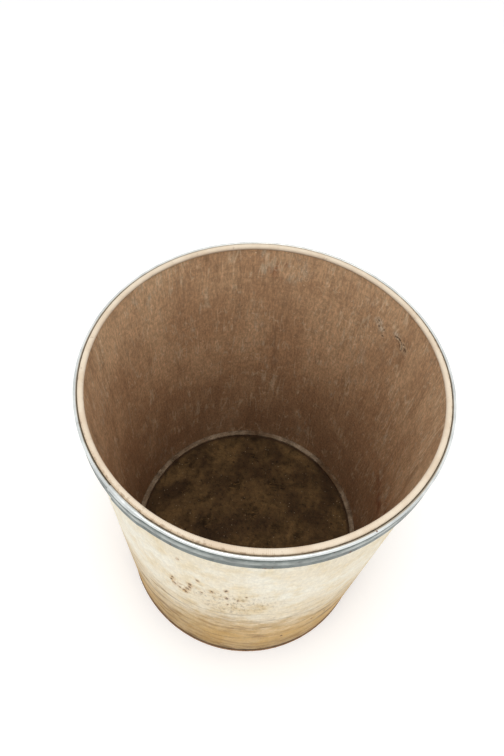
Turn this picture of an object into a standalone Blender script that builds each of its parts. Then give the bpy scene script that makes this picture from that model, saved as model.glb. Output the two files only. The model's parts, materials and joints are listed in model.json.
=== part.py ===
"""Open-top fibreboard drum, used as a large bucket.

A wound fibreboard wall stands on its swollen foot and curls inwards at the top.
A galvanised sheet steel band grips the rim: its top edge is rolled into a bead, and its ends are lapped.
A round bottom lies between two fibreboard rings that are glued inside the wall.

Lengths are in metres, +Z is up, and the origin is at the centre of the foot.
Each cross-section is drawn in a plane of radius (r) and height (z), then turned about the Z axis.
"""

import math
from collections import namedtuple

import bmesh
import bpy
from mathutils import Matrix, Vector

# Whole drum
DRUM_HEIGHT = 0.7230
WALL_RADIUS = 0.2900
WALL_THICKNESS = 0.0070
FIT_CLEARANCE = 0.0003
FACETS = 72

# Curled top of the wall
CURL_OVERHANG = 0.0021
CURL_HEIGHT = 0.0095
CURL_NOSE_RADIUS = 0.0045
CURL_SHOULDER_RADIUS = 0.0035
CURL_CREASE_RADIUS = 0.0008

# Swollen foot of the wall
FOOT_LIP_STAND = 0.0018
FOOT_LIP_HEIGHT = 0.0095
FOOT_LIP_RADIUS = 0.0012
FOOT_CREASE_DEPTH = 0.0006
FOOT_CREASE_RADIUS = 0.0010
FOOT_TUCK_HEIGHT = 0.0030

# Steel band
SHEET_THICKNESS = 0.0010
BAND_DROP = 0.0015
BAND_HEIGHT = 0.0390
BEAD_RADIUS = 0.0025
BEAD_CURL_END = math.radians(235)
NECK_DEPTH = 0.0078
NECK_BEND_RADIUS = 0.0021
FACE_STAND = 0.0054
SHOULDER_DEPTH = 0.0130
SHOULDER_BEND_RADIUS = 0.0018
CROWN_HEIGHT = 0.0004
CROWN_FULLNESS = 0.9
CREASE_DEPTH = 0.0006
CREASE_RISE = 0.0085
CREASE_BEND_RADIUS = 0.0040
LIP_STAND = 0.0064
LIP_BEND_RADIUS = 0.0016

# Lapped ends of the band
LAP_BEARING = math.radians(230)
LAP_FACETS = 2
JOGGLE_START = math.radians(0.4)
JOGGLE_END = math.radians(3.0)

# Bottom
FOOT_RING_RECESS = 0.0012
FOOT_RING_WIDTH = 0.0150
FOOT_RING_HEIGHT = 0.0145
BOTTOM_THICKNESS = 0.0060
FLOOR_RING_WIDTH = 0.0130
FLOOR_RING_HEIGHT = 0.0080
RING_EDGE_RADIUS = 0.0020
BOTTOM_EDGE_RADIUS = 0.0008

# Out-of-round rim: the amounts that the rim is pushed in and out
OVAL_AMOUNT = 0.0009
OVAL_BEARING = math.radians(40)
LOBE_AMOUNT = 0.0008
LOBE_BEARING = math.radians(11)

SMOOTH_ANGLE = math.radians(40)
MERGE_DISTANCE = 0.00001

# A bend is an arc in a section. turn is +1 for a left turn along the outline and -1 for a right turn.
Bend = namedtuple("Bend", "r z radius turn steps")


def tangent_direction(first, second):
    """Direction of the straight run that leaves one bend and meets the next."""
    span = Vector((second.r - first.r, second.z - first.z))
    sideways = second.turn * second.radius - first.turn * first.radius
    lean = math.asin(sideways / span.length)
    return Matrix.Rotation(-lean, 2) @ span.normalized()


def edge_angle(bend, direction):
    """Angle, seen from a bend's centre, of the point where the outline runs in the given direction."""
    return math.atan2(direction.y, direction.x) - bend.turn * math.pi / 2


def bend_points(bend, start_angle, end_angle):
    """Points along a bend, from the start angle to the end angle in its own turning direction."""
    sweep = (bend.turn * (end_angle - start_angle)) % (2 * math.pi)
    points = []
    for step in range(bend.steps + 1):
        angle = start_angle + bend.turn * sweep * step / bend.steps
        points.append(Vector((bend.r + bend.radius * math.cos(angle),
                              bend.z + bend.radius * math.sin(angle))))
    return points


def closed_outline(bends):
    """Outline that wraps each bend in turn and closes on itself."""
    points = []
    for index, bend in enumerate(bends):
        arriving = tangent_direction(bends[index - 1], bend)
        leaving = tangent_direction(bend, bends[(index + 1) % len(bends)])
        points += bend_points(bend, edge_angle(bend, arriving), edge_angle(bend, leaving))
    return points


def open_outline(bends, start_angle, end_angle):
    """Outline that starts and ends on its first and last bends, at the given angles."""
    points = []
    for index, bend in enumerate(bends):
        first_angle = start_angle
        last_angle = end_angle
        if index > 0:
            first_angle = edge_angle(bend, tangent_direction(bends[index - 1], bend))
        if index < len(bends) - 1:
            last_angle = edge_angle(bend, tangent_direction(bend, bends[index + 1]))
        points += bend_points(bend, first_angle, last_angle)
    return points


def rim_shift(bearing, height):
    """Radial shift that leaves the rim slightly out of round and the foot true."""
    oval = OVAL_AMOUNT * math.cos(2 * (bearing - OVAL_BEARING))
    lobe = LOBE_AMOUNT * math.cos(3 * (bearing - LOBE_BEARING))
    return (oval + lobe) * (height / DRUM_HEIGHT) ** 2


def push_out_of_round(mesh):
    for vertex in mesh.verts:
        radius = math.hypot(vertex.co.x, vertex.co.y)
        if radius > MERGE_DISTANCE:
            bearing = math.atan2(vertex.co.y, vertex.co.x)
            scale = 1 + rim_shift(bearing, vertex.co.z) / radius
            vertex.co.x *= scale
            vertex.co.y *= scale


def add_object(name, mesh, material):
    """Finish a mesh as one smooth-shaded object."""
    bmesh.ops.remove_doubles(mesh, verts=mesh.verts, dist=MERGE_DISTANCE)
    push_out_of_round(mesh)
    bmesh.ops.recalc_face_normals(mesh, faces=mesh.faces)
    data = bpy.data.meshes.new(name)
    mesh.to_mesh(data)
    mesh.free()
    data.shade_smooth()
    data.set_sharp_from_angle(angle=SMOOTH_ANGLE)
    data.materials.append(material)
    piece = bpy.data.objects.new(name, data)
    bpy.context.scene.collection.objects.link(piece)
    return piece


def turned(points, closed):
    """Mesh made by turning an outline once round the Z axis."""
    mesh = bmesh.new()
    verts = [mesh.verts.new((point.x, 0, point.y)) for point in points]
    ends = verts[1:] + verts[:1] if closed else verts[1:]
    edges = [mesh.edges.new(pair) for pair in zip(verts, ends)]
    bmesh.ops.spin(mesh, geom=verts + edges, cent=(0, 0, 0), axis=(0, 0, 1), angle=2 * math.pi,
                   steps=FACETS, use_merge=True)
    return mesh


def new_material(name, color, roughness, metallic):
    material = bpy.data.materials.new(name)
    material.use_nodes = True
    shader = material.node_tree.nodes["Principled BSDF"]
    shader.inputs["Base Color"].default_value = (*color, 1)
    shader.inputs["Roughness"].default_value = roughness
    shader.inputs["Metallic"].default_value = metallic
    return material


def make_side_wall(material):
    """Wound wall with its top curled inwards over a crease, and a swollen lip at the foot."""
    inner = WALL_RADIUS - WALL_THICKNESS
    nose = inner - CURL_OVERHANG + CURL_NOSE_RADIUS
    lip = WALL_RADIUS + FOOT_LIP_STAND - FOOT_LIP_RADIUS
    outline = closed_outline([
        Bend(lip, FOOT_LIP_RADIUS, FOOT_LIP_RADIUS, 1, 2),
        Bend(lip, FOOT_LIP_HEIGHT - FOOT_LIP_RADIUS, FOOT_LIP_RADIUS, 1, 2),
        Bend(WALL_RADIUS - FOOT_CREASE_DEPTH + FOOT_CREASE_RADIUS,
             FOOT_LIP_HEIGHT + FOOT_CREASE_RADIUS, FOOT_CREASE_RADIUS, -1, 2),
        Bend(WALL_RADIUS - FOOT_CREASE_RADIUS, FOOT_LIP_HEIGHT + FOOT_TUCK_HEIGHT,
             FOOT_CREASE_RADIUS, 1, 1),
        Bend(WALL_RADIUS - CURL_SHOULDER_RADIUS, DRUM_HEIGHT - CURL_SHOULDER_RADIUS,
             CURL_SHOULDER_RADIUS, 1, 3),
        Bend(nose, DRUM_HEIGHT - CURL_NOSE_RADIUS, CURL_NOSE_RADIUS, 1, 5),
        Bend(inner - CURL_CREASE_RADIUS, DRUM_HEIGHT - CURL_HEIGHT, CURL_CREASE_RADIUS, -1, 1),
        Bend(inner + FOOT_LIP_RADIUS, FOOT_LIP_RADIUS, FOOT_LIP_RADIUS, 1, 2),
    ])
    return add_object("side_wall", turned(outline, closed=True), material)


def band_sheet_line(offset):
    """Line through the steel band's sheet in section, moved outwards from its middle by an offset."""
    top = DRUM_HEIGHT - BAND_DROP
    foot = top - BAND_HEIGHT
    half_sheet = SHEET_THICKNESS / 2
    grip = WALL_RADIUS + FIT_CLEARANCE
    lap_step = SHEET_THICKNESS + FIT_CLEARANCE
    bead_r = grip + lap_step + BEAD_RADIUS
    face_r = WALL_RADIUS + FACE_STAND
    crown_z = (top - SHOULDER_DEPTH + foot + CREASE_RISE) / 2
    crown_reach = crown_z - (foot + CREASE_RISE)
    crown_drop = CROWN_HEIGHT + CREASE_DEPTH
    crown_radius = CROWN_FULLNESS * crown_reach ** 2 / (2 * crown_drop) - CREASE_BEND_RADIUS
    lip_r = WALL_RADIUS + LIP_STAND
    bends = [
        Bend(bead_r, top - BEAD_RADIUS, BEAD_RADIUS - half_sheet + offset, -1, 6),
        Bend(grip + half_sheet + NECK_BEND_RADIUS, top - NECK_DEPTH, NECK_BEND_RADIUS - offset, 1, 2),
        Bend(face_r - SHOULDER_BEND_RADIUS, top - SHOULDER_DEPTH, SHOULDER_BEND_RADIUS + offset, -1, 2),
        Bend(face_r + CROWN_HEIGHT - crown_radius, crown_z, crown_radius + offset, -1, 1),
        Bend(face_r - CREASE_DEPTH + CREASE_BEND_RADIUS, foot + CREASE_RISE,
             CREASE_BEND_RADIUS - offset, 1, 1),
        Bend(lip_r - LIP_BEND_RADIUS, foot + half_sheet + LIP_BEND_RADIUS,
             LIP_BEND_RADIUS + offset, -1, 2),
    ]
    line = open_outline(bends, BEAD_CURL_END, -math.pi / 2)
    line.append(Vector((grip, line[-1].y)))
    return line


def band_stations():
    """Bearings along the band with each one's outward step, from its outer end round to its inner end."""
    facet = 2 * math.pi / FACETS
    lap = LAP_FACETS * facet
    lap_step = SHEET_THICKNESS + FIT_CLEARANCE
    stations = [(LAP_BEARING + facet * index, lap_step) for index in range(LAP_FACETS + 1)]
    stations.append((LAP_BEARING + lap + JOGGLE_START, lap_step))
    stations.append((LAP_BEARING + lap + JOGGLE_END, 0))
    stations += [(LAP_BEARING + facet * index, 0)
                 for index in range(LAP_FACETS + 1, FACETS + LAP_FACETS + 1)]
    return stations


def make_rim_band(material):
    """Rolled steel strip: a bead at the top, a neck that grips the wall, a crowned face and a turned-in lip."""
    mesh = bmesh.new()
    rings = []
    for bearing, step in band_stations():
        outside = band_sheet_line(step + SHEET_THICKNESS / 2)
        inside = band_sheet_line(step - SHEET_THICKNESS / 2)
        section = outside + inside[::-1]
        across = Vector((math.cos(bearing), math.sin(bearing), 0))
        rings.append([mesh.verts.new(across * point.x + Vector((0, 0, point.y))) for point in section])
    count = len(rings[0])
    for ring, following in zip(rings, rings[1:]):
        for index in range(count):
            other = (index + 1) % count
            mesh.faces.new((ring[index], ring[other], following[other], following[index]))
    for ring in (rings[0], rings[-1]):
        for index in range(count // 2 - 1):
            mesh.faces.new((ring[index], ring[index + 1], ring[count - 2 - index], ring[count - 1 - index]))
    return add_object("rim_band", mesh, material)


def make_ring(name, base, width, height, material):
    """Fibreboard ring with rounded edges, seated against the wall's inner face."""
    outer = WALL_RADIUS - WALL_THICKNESS - FIT_CLEARANCE - RING_EDGE_RADIUS
    inner = outer - width + 2 * RING_EDGE_RADIUS
    low = base + RING_EDGE_RADIUS
    high = base + height - RING_EDGE_RADIUS
    corners = [(inner, low), (outer, low), (outer, high), (inner, high)]
    outline = closed_outline([Bend(r, z, RING_EDGE_RADIUS, 1, 1) for r, z in corners])
    return add_object(name, turned(outline, closed=True), material)


def make_bottom_disc(base, material):
    """Round bottom that reaches the wall, with eased edges."""
    edge = WALL_RADIUS - WALL_THICKNESS - FIT_CLEARANCE - BOTTOM_EDGE_RADIUS
    low = Bend(edge, base + BOTTOM_EDGE_RADIUS, BOTTOM_EDGE_RADIUS, 1, 1)
    high = Bend(edge, base + BOTTOM_THICKNESS - BOTTOM_EDGE_RADIUS, BOTTOM_EDGE_RADIUS, 1, 1)
    rim = open_outline([low, high], -math.pi / 2, math.pi / 2)
    axis_ends = [Vector((0, base)), Vector((0, base + BOTTOM_THICKNESS))]
    return add_object("bottom_disc", turned([axis_ends[0], *rim, axis_ends[1]], closed=False), material)


def main():
    for piece in list(bpy.data.objects):
        bpy.data.objects.remove(piece, do_unlink=True)
    coated_board = new_material("coated_fibreboard", (0.72, 0.62, 0.46), 0.75, 0)
    steel = new_material("galvanised_steel", (0.58, 0.61, 0.60), 0.38, 1)
    brown_board = new_material("brown_fibreboard", (0.16, 0.10, 0.06), 0.9, 0)

    make_side_wall(coated_board)
    make_rim_band(steel)
    make_ring("foot_ring", FOOT_RING_RECESS, FOOT_RING_WIDTH, FOOT_RING_HEIGHT, brown_board)
    bottom_base = FOOT_RING_RECESS + FOOT_RING_HEIGHT + FIT_CLEARANCE
    make_bottom_disc(bottom_base, brown_board)
    floor_ring_base = bottom_base + BOTTOM_THICKNESS + FIT_CLEARANCE
    make_ring("floor_ring", floor_ring_base, FLOOR_RING_WIDTH, FLOOR_RING_HEIGHT, brown_board)


main()
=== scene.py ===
"""Looks of an open-top fibreboard drum with a galvanised rim band, used as a large bucket.

Lengths are in metres and +Z is up. A bearing is an angle about Z, counted from +X towards +Y.
The wall, the band, the floor ring, the bottom and the foot ring are each one piece.
"""

import json
import math
from collections import namedtuple

import bpy
from mathutils import Matrix, Vector, noise

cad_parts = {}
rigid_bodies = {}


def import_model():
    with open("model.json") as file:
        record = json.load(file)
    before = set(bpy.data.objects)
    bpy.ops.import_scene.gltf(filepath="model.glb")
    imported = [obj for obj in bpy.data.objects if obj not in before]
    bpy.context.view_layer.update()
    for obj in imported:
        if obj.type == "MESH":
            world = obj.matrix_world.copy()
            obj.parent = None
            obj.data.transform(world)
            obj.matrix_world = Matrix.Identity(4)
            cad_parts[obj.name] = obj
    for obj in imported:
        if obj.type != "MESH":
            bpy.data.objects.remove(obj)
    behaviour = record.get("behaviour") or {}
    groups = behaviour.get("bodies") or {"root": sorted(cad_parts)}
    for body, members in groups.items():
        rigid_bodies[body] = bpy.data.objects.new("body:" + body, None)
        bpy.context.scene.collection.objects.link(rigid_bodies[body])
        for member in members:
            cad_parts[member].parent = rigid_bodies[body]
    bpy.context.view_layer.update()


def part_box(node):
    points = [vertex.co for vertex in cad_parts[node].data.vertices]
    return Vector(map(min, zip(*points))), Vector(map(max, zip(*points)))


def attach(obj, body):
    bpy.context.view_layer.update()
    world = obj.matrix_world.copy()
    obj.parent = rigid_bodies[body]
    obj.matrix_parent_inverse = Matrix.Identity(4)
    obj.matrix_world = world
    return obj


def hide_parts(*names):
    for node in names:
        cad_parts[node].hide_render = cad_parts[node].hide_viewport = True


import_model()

# Sizes read from the frame
WALL_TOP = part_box("side_wall")[1]
BAND_LOW, BAND_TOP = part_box("rim_band")
BOTTOM_LOW, BOTTOM_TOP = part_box("bottom_disc")
FLOOR_RING_LOW, FLOOR_RING_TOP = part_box("floor_ring")
FOOT_RING_LOW, FOOT_RING_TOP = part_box("foot_ring")
DRUM_HEIGHT = WALL_TOP.z
BOTTOM_RADIUS = BOTTOM_TOP.x

# Wall
FIT_CLEARANCE = 0.0003
WALL_THICKNESS = 0.0070
INNER_RADIUS = BOTTOM_RADIUS + FIT_CLEARANCE
WALL_RADIUS = INNER_RADIUS + WALL_THICKNESS
CURL_OVERHANG = 0.0021
CURL_HEIGHT = 0.0095
CURL_NOSE_RADIUS = 0.0045
CURL_SHOULDER_RADIUS = 0.0035
CURL_CREASE_RADIUS = 0.0008
FOOT_LIP_STAND = 0.0018
FOOT_LIP_HEIGHT = 0.0095
FOOT_LIP_RADIUS = 0.0012
FOOT_CREASE_DEPTH = 0.0006
FOOT_CREASE_RADIUS = 0.0010
FOOT_TUCK_HEIGHT = 0.0030

# Steel band
SHEET_THICKNESS = 0.0010
BEAD_RADIUS = 0.0025
BEAD_CURL_END = math.radians(235)
NECK_DEPTH = 0.0078
NECK_BEND_RADIUS = 0.0021
FACE_STAND = 0.0054
SHOULDER_DEPTH = 0.0130
SHOULDER_BEND_RADIUS = 0.0018
CROWN_HEIGHT = 0.0004
CROWN_FULLNESS = 0.9
CREASE_DEPTH = 0.0006
CREASE_RISE = 0.0085
CREASE_BEND_RADIUS = 0.0040
LIP_STAND = 0.0064
LIP_BEND_RADIUS = 0.0016
LAP_BEARING = math.radians(230)
LAP_ANGLE = math.radians(10)
JOGGLE_START = math.radians(0.4)
JOGGLE_END = math.radians(3.0)
LAP_STEP = SHEET_THICKNESS + FIT_CLEARANCE

# Rings and bottom
RING_EDGE_RADIUS = 0.0020
FLOOR_RING_WIDTH = 0.0130
FOOT_RING_WIDTH = 0.0150
BOTTOM_EDGE_RADIUS = 0.0008
BOTTOM_SAG = 0.0009
SAG_SCALE = 9
RIPPLE_SCALE = 45
RING_UNEVENNESS = 0.0005
RING_SCALE = 14

# Out-of-round rim
OVAL_AMOUNT = 0.0009
OVAL_BEARING = math.radians(40)
LOBE_AMOUNT = 0.0008
LOBE_BEARING = math.radians(11)

# Mesh density
COLUMNS = 320
WALL_ROWS = 84
BOTTOM_ROWS = 40
SEED_SIZE = 0.001
MERGE_DISTANCE = 0.00001
SMOOTH_ANGLE = math.radians(40)

# Damage to the wall: bearing in degrees, height, radius and depth in metres
Mark = namedtuple("Mark", "bearing height radius depth", defaults=(0,))
CHIPS = [Mark(*values) for values in (
    (247.5, 0.478, 0.0034, 0.0009), (247.1, 0.462, 0.0028, 0.0006), (247.9, 0.446, 0.0034, 0.0009),
    (249.8, 0.439, 0.0024, 0.0005), (251.7, 0.433, 0.0034, 0.0008), (253.0, 0.453, 0.0036, 0.0009),
    (252.2, 0.428, 0.0028, 0.0006), (254.2, 0.489, 0.0034, 0.0007), (253.9, 0.472, 0.0026, 0.0005),
    (257.1, 0.533, 0.0024, 0.0005), (261.7, 0.493, 0.0027, 0.0006), (266.4, 0.52, 0.0027, 0.0006),
    (266.6, 0.477, 0.0027, 0.0006), (267.1, 0.436, 0.0019, 0.0004), (251.3, 0.607, 0.0019, 0.0003),
    (258.3, 0.469, 0.0018, 0.0003), (270.4, 0.471, 0.0018, 0.0003), (272.9, 0.5, 0.0016, 0.0003),
    (291.0, 0.138, 0.0032, 0.0005), (303.0, 0.213, 0.0024, 0.0004), (309.0, 0.214, 0.0022, 0.0004),
)]
CHIP_RING = Mark(250.4, 0.455, 0.036)

# Marks on the coating are taller than they are wide: their heights count by this much
UPRIGHT = 0.45


def facing(bearing, height, radius):
    """Point on a cylinder of the given radius, at a bearing in degrees and a height."""
    angle = math.radians(bearing)
    return Vector((radius * math.cos(angle), radius * math.sin(angle), height))


def smooth_step(low, high, value):
    share = min(max((value - low) / (high - low), 0), 1)
    return share * share * (3 - 2 * share)


# Sections: a bend is an arc, with turn +1 for a left turn along the outline and -1 for a right turn
Bend = namedtuple("Bend", "r z radius turn steps")


def tangent_direction(first, second):
    """Direction of the straight run that leaves one bend and meets the next."""
    span = Vector((second.r - first.r, second.z - first.z))
    sideways = second.turn * second.radius - first.turn * first.radius
    return Matrix.Rotation(-math.asin(sideways / span.length), 2) @ span.normalized()


def edge_angle(bend, direction):
    """Angle, seen from a bend's centre, of the point where the outline runs in the given direction."""
    return math.atan2(direction.y, direction.x) - bend.turn * math.pi / 2


def bend_points(bend, start_angle, end_angle):
    sweep = (bend.turn * (end_angle - start_angle)) % (2 * math.pi)
    points = []
    for step in range(bend.steps + 1):
        angle = start_angle + bend.turn * sweep * step / bend.steps
        points.append(Vector((bend.r + bend.radius * math.cos(angle),
                              bend.z + bend.radius * math.sin(angle))))
    return points


def closed_outline(bends):
    """Outline that wraps each bend in turn and ends on its first point."""
    points = []
    for index, bend in enumerate(bends):
        arriving = tangent_direction(bends[index - 1], bend)
        leaving = tangent_direction(bend, bends[(index + 1) % len(bends)])
        points += bend_points(bend, edge_angle(bend, arriving), edge_angle(bend, leaving))
    return points + points[:1]


def open_outline(bends, start_angle, end_angle):
    """Outline that starts and ends on its first and last bends, at the given angles."""
    points = []
    for index, bend in enumerate(bends):
        first_angle = start_angle
        last_angle = end_angle
        if index > 0:
            first_angle = edge_angle(bend, tangent_direction(bends[index - 1], bend))
        if index < len(bends) - 1:
            last_angle = edge_angle(bend, tangent_direction(bend, bends[index + 1]))
        points += bend_points(bend, first_angle, last_angle)
    return points


# Modelling steps
def enter_edit():
    bpy.ops.object.mode_set(mode="EDIT")


def leave_edit():
    bpy.ops.object.mode_set(mode="OBJECT")


def deselect_all():
    for piece in bpy.context.view_layer.objects:
        piece.select_set(False)


def trace(name, outline, bearing=0.0):
    """Merge a small plane to one vertex, and extrude it along an outline that stands at a bearing."""
    deselect_all()
    across = Vector((math.cos(bearing), math.sin(bearing), 0))
    points = [across * point.x + Vector((0, 0, point.y)) for point in outline]
    bpy.ops.mesh.primitive_plane_add(size=SEED_SIZE, location=points[0])
    piece = bpy.context.object
    piece.name = name
    enter_edit()
    bpy.ops.mesh.select_mode(type="VERT")
    bpy.ops.mesh.merge(type="CENTER")
    for start, end in zip(points, points[1:]):
        bpy.ops.mesh.extrude_vertices_move(TRANSFORM_OT_translate={"value": end - start})
    leave_edit()
    bpy.ops.object.transform_apply(location=True, rotation=True, scale=True)
    return piece


def select_where(kind, items, chosen):
    """Enter edit mode with only those of a mesh's vertices, edges or faces selected that satisfy a rule."""
    enter_edit()
    bpy.ops.mesh.select_mode(type=kind)
    bpy.ops.mesh.select_all(action="DESELECT")
    leave_edit()
    for item in items:
        item.select = chosen(item)
    enter_edit()


def subdivide_runs(piece, shortest, cuts):
    """Divide the straight runs of a traced outline that are longer than the given length."""
    vertices = piece.data.vertices

    def is_long(edge):
        first, second = edge.vertices
        return (vertices[first].co - vertices[second].co).length > shortest

    select_where("EDGE", piece.data.edges, is_long)
    bpy.ops.mesh.subdivide(number_cuts=cuts)
    leave_edit()


def refine_patch(piece, chosen, cuts):
    """Divide the faces whose centre satisfies a rule, for fine relief there."""
    select_where("FACE", piece.data.polygons, lambda face: chosen(face.center))
    bpy.ops.mesh.subdivide(number_cuts=cuts)
    leave_edit()


def spin_full(piece):
    """Turn a traced outline once round Z, and close it."""
    enter_edit()
    bpy.ops.mesh.select_all(action="SELECT")
    bpy.ops.mesh.spin(steps=COLUMNS, angle=2 * math.pi, center=(0, 0, 0), axis=(0, 0, 1))
    bpy.ops.mesh.select_all(action="SELECT")
    bpy.ops.mesh.remove_doubles(threshold=MERGE_DISTANCE)
    bpy.ops.mesh.normals_make_consistent(inside=False)
    leave_edit()


def polar(point):
    return math.hypot(point.x, point.y), math.atan2(point.y, point.x)


def push_vertices(piece, shift):
    """Move each vertex in or out and up or down by the amounts that a rule gives for it."""
    for vertex in piece.data.vertices:
        radius, bearing = polar(vertex.co)
        outwards, upwards = shift(vertex.co, radius, bearing)
        if radius > MERGE_DISTANCE:
            vertex.co.x += outwards * math.cos(bearing)
            vertex.co.y += outwards * math.sin(bearing)
        vertex.co.z += upwards
    piece.data.update()


def rim_shift(bearing, height):
    """Radial shift that leaves the rim slightly out of round and the foot true."""
    oval = OVAL_AMOUNT * math.cos(2 * (bearing - OVAL_BEARING))
    lobe = LOBE_AMOUNT * math.cos(3 * (bearing - LOBE_BEARING))
    return (oval + lobe) * (height / DRUM_HEIGHT) ** 2


def finish_piece(piece, materials, node):
    """Shade a piece smooth, give it its materials, and let it stand for its node."""
    deselect_all()
    piece.select_set(True)
    bpy.context.view_layer.objects.active = piece
    bpy.ops.object.shade_smooth_by_angle(angle=SMOOTH_ANGLE)
    for material in materials:
        piece.data.materials.append(material)
    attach(piece, "root")
    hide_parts(node)


# Side wall
MIDDLE_RADIUS = WALL_RADIUS - WALL_THICKNESS / 2
CURL_FOOT = DRUM_HEIGHT - CURL_HEIGHT
FRAY_DEPTH = 0.0006
FRAY_TOP = 0.012
FRAY_MARGIN = 0.0004
CHIP_WINDOW = (244, 271, 0.41, 0.52)
FLAKE_WINDOW = (25, 50, 0.595, 0.67)
WAVE_DEPTH = 0.0003
WAVE_SCALE = 5.0
WAVE_LOW_END = (0.045, 0.12)
WAVE_HIGH_END = (0.56, 0.66)
FRAY_SCALE = 150
FINE_SCALE = 420
TORN_SCALE = 160


def wall_outline():
    nose = INNER_RADIUS - CURL_OVERHANG + CURL_NOSE_RADIUS
    lip = WALL_RADIUS + FOOT_LIP_STAND - FOOT_LIP_RADIUS
    return closed_outline([
        Bend(lip, FOOT_LIP_RADIUS, FOOT_LIP_RADIUS, 1, 4),
        Bend(lip, FOOT_LIP_HEIGHT - FOOT_LIP_RADIUS, FOOT_LIP_RADIUS, 1, 4),
        Bend(WALL_RADIUS - FOOT_CREASE_DEPTH + FOOT_CREASE_RADIUS,
             FOOT_LIP_HEIGHT + FOOT_CREASE_RADIUS, FOOT_CREASE_RADIUS, -1, 3),
        Bend(WALL_RADIUS - FOOT_CREASE_RADIUS, FOOT_LIP_HEIGHT + FOOT_TUCK_HEIGHT,
             FOOT_CREASE_RADIUS, 1, 2),
        Bend(WALL_RADIUS - CURL_SHOULDER_RADIUS, DRUM_HEIGHT - CURL_SHOULDER_RADIUS,
             CURL_SHOULDER_RADIUS, 1, 6),
        Bend(nose, DRUM_HEIGHT - CURL_NOSE_RADIUS, CURL_NOSE_RADIUS, 1, 9),
        Bend(INNER_RADIUS - CURL_CREASE_RADIUS, DRUM_HEIGHT - CURL_HEIGHT, CURL_CREASE_RADIUS, -1, 3),
        Bend(INNER_RADIUS + FOOT_LIP_RADIUS, FOOT_LIP_RADIUS, FOOT_LIP_RADIUS, 1, 3),
    ])


def in_window(point, window):
    """Whether a point lies in a window of bearings in degrees and heights."""
    low_bearing, high_bearing, low, high = window
    bearing = math.degrees(math.atan2(point.y, point.x)) % 360
    return low < point.z < high and low_bearing < bearing < high_bearing


def chip_depth(point):
    """Depth of the pits that chipped coating leaves at a point of the outer face."""
    depth = 0
    if not in_window(point, CHIP_WINDOW):
        return 0
    for chip in CHIPS:
        away = point - facing(chip.bearing, chip.height, WALL_RADIUS)
        away = Vector((away.x, away.y, away.z * UPRIGHT)).length
        reach = chip.radius * (1 + 0.5 * noise.noise(point * FINE_SCALE))
        depth = max(depth, chip.depth * (1 - smooth_step(reach * 0.55, reach, away)))
    return depth


# A lifted flake of the inner ply: its raised edge is an arc that faces up and to the left
FLAKE = Mark(34.6, 0.634, 0.0130, 0.0012)
FLAKE_OPEN_SIDE = math.radians(125)
FLAKE_SIDE = facing(FLAKE.bearing + 90, math.sin(FLAKE_OPEN_SIDE), math.cos(FLAKE_OPEN_SIDE))
PEEL_HOLES = [Mark(*values) for values in (
    (30.4, 0.638, 0.0052, 0.0014), (44.9, 0.633, 0.0026, 0.0008), (42.4, 0.634, 0.0024, 0.0008),
    (42.0, 0.618, 0.0022, 0.0006), (31.6, 0.646, 0.003, 0.0008), (45.8, 0.645, 0.0022, 0.0006),
)]


def inner_relief(point, bearing):
    """Height of the lifted flake above the inner face, less the depth of the holes beside it."""
    if not in_window(point, FLAKE_WINDOW):
        return 0
    sideways = (math.degrees(bearing) - FLAKE.bearing) * math.radians(INNER_RADIUS)
    upwards = point.z - FLAKE.height
    away = math.hypot(sideways, upwards)
    turn = math.cos(math.atan2(upwards, sideways) - FLAKE_OPEN_SIDE)
    edge = FLAKE.radius * (1 + 0.12 * noise.noise(point * TORN_SCALE))
    lift = 0
    if away < edge:
        lift = FLAKE.depth * (away / edge) ** 2 * smooth_step(-0.2, 0.7, turn)
    for hole in PEEL_HOLES:
        gap = (point - facing(hole.bearing, hole.height, INNER_RADIUS)).length
        lift -= hole.depth * (1 - smooth_step(hole.radius * 0.5, hole.radius, gap))
    return lift


def wall_shift(point, radius, bearing):
    """Waves and out-of-round of the wall, with its frayed foot, chips and lifted flake."""
    outside = radius > MIDDLE_RADIUS
    steady = smooth_step(*WAVE_LOW_END, point.z) * (1 - smooth_step(*WAVE_HIGH_END, point.z))
    outwards = rim_shift(bearing, point.z)
    outwards += WAVE_DEPTH * steady * noise.noise(Vector((point.x, point.y, point.z * 0.6)) * WAVE_SCALE)
    if outside and point.z < FOOT_LIP_HEIGHT + FOOT_TUCK_HEIGHT / 2:
        frayed = 0.5 + 0.5 * noise.noise(point * FRAY_SCALE) + 0.4 * noise.noise(point * FINE_SCALE)
        lip_share = smooth_step(WALL_RADIUS - 0.0005, WALL_RADIUS + FOOT_LIP_STAND, radius)
        outwards -= FRAY_DEPTH * min(max(frayed, 0), 1) * lip_share
    elif outside:
        outwards -= chip_depth(point)
    elif point.z < CURL_FOOT:
        outwards -= inner_relief(point, bearing)
    return outwards, 0


def make_wall(coating, bead, inner_board):
    wall = trace("drum_wall", wall_outline())
    subdivide_runs(wall, DRUM_HEIGHT / 2, WALL_ROWS)
    spin_full(wall)
    refine_patch(wall, lambda c: polar(c)[0] > MIDDLE_RADIUS and in_window(c, CHIP_WINDOW), 3)
    refine_patch(wall, lambda c: polar(c)[0] < MIDDLE_RADIUS and in_window(c, FLAKE_WINDOW), 3)
    refine_patch(wall, lambda c: polar(c)[0] > WALL_RADIUS - FRAY_MARGIN and c.z < FRAY_TOP, 1)
    push_vertices(wall, wall_shift)
    finish_piece(wall, [coating, bead, inner_board], "side_wall")
    for face in wall.data.polygons:
        if face.center.z > CURL_FOOT + CURL_CREASE_RADIUS:
            face.material_index = 1
        elif polar(face.center)[0] < MIDDLE_RADIUS:
            face.material_index = 2


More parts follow.
